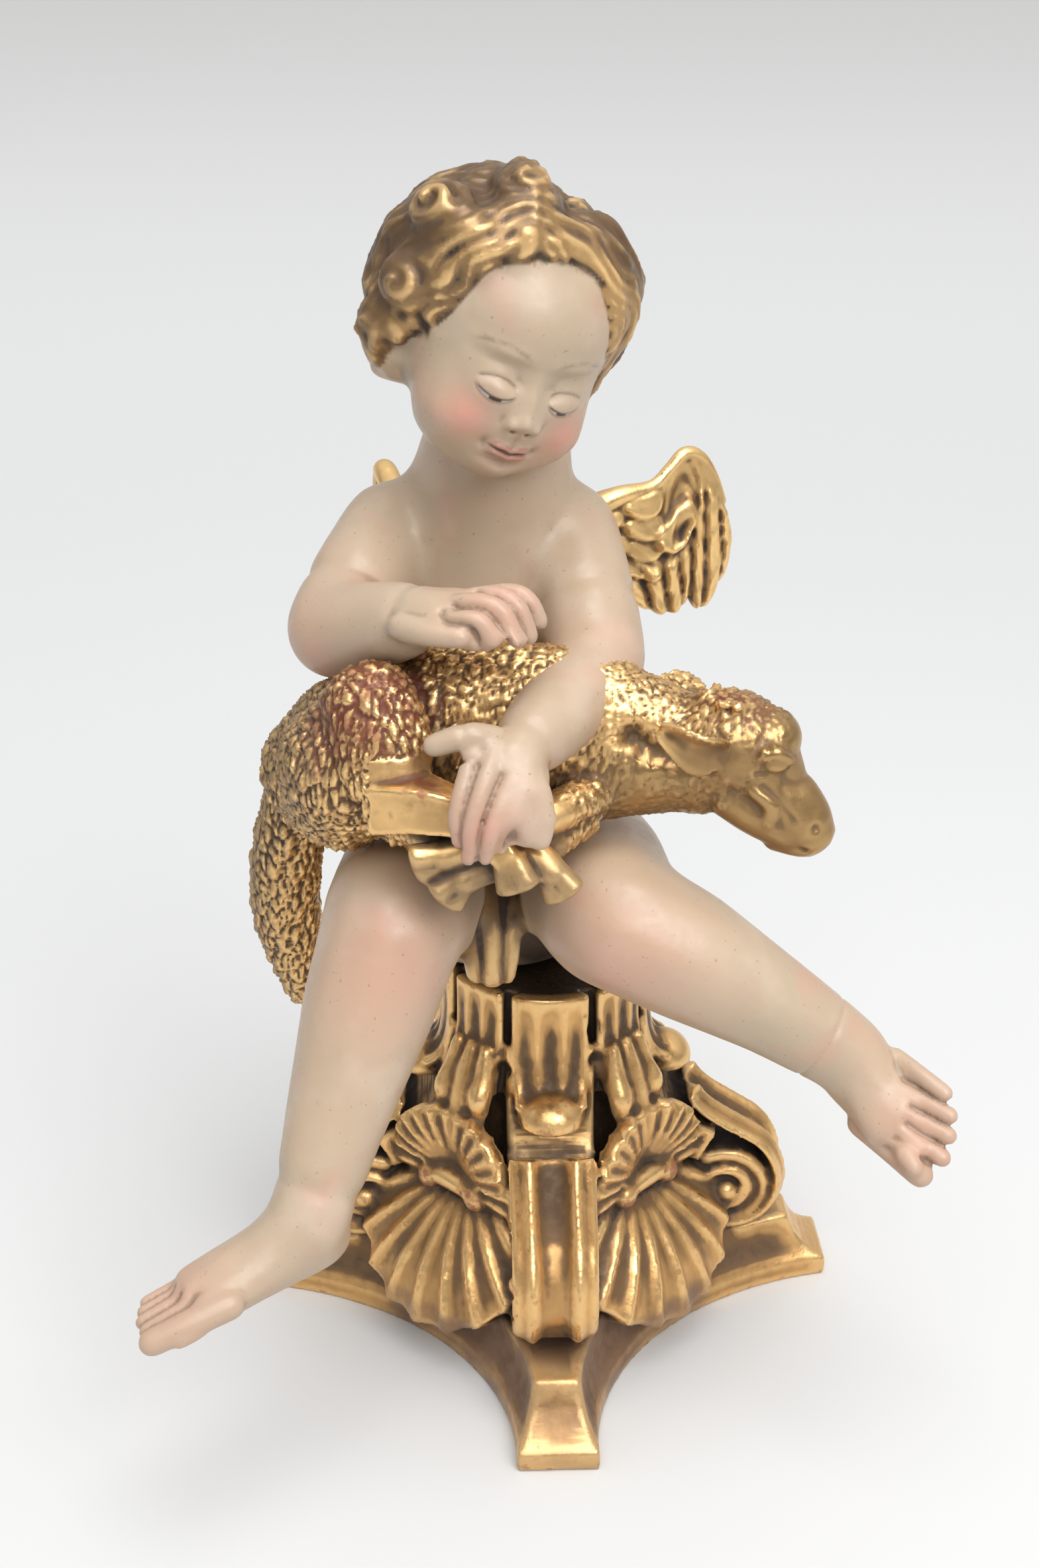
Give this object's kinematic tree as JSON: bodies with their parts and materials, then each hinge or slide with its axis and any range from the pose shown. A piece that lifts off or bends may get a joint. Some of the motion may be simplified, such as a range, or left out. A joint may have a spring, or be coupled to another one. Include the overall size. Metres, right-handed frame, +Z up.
{
  "type": "wooden angel statue",
  "caption": "Painted and gilded wooden angel child with small wings, seated on an upturned capital and holding a lamb across its lap; a carved ornament that stands on its own base.",
  "frame": {"origin": "centre of the capital's flat underside", "axes": "+Z up, -Y the way the angel faces, +X towards the angel's left side"},
  "size_m": [0.3899, 0.41, 0.6554],
  "materials": {
    "gilded_base": "worn gilding, dulled brown, dark in the hollows",
    "painted_flesh": "aged flesh-coloured paint with a satin sheen; brown-gold hair",
    "gilded_lamb": "gold leaf rubbed through to red-brown bole",
    "gilded_wings": "gold leaf with rubbed edges"
  },
  "bodies": {
    "root": {"capital": "gilded_base", "angel": "painted_flesh", "lamb": "gilded_lamb", "wing_left": "gilded_wings", "wing_right": "gilded_wings"}
  },
  "joints": []
}
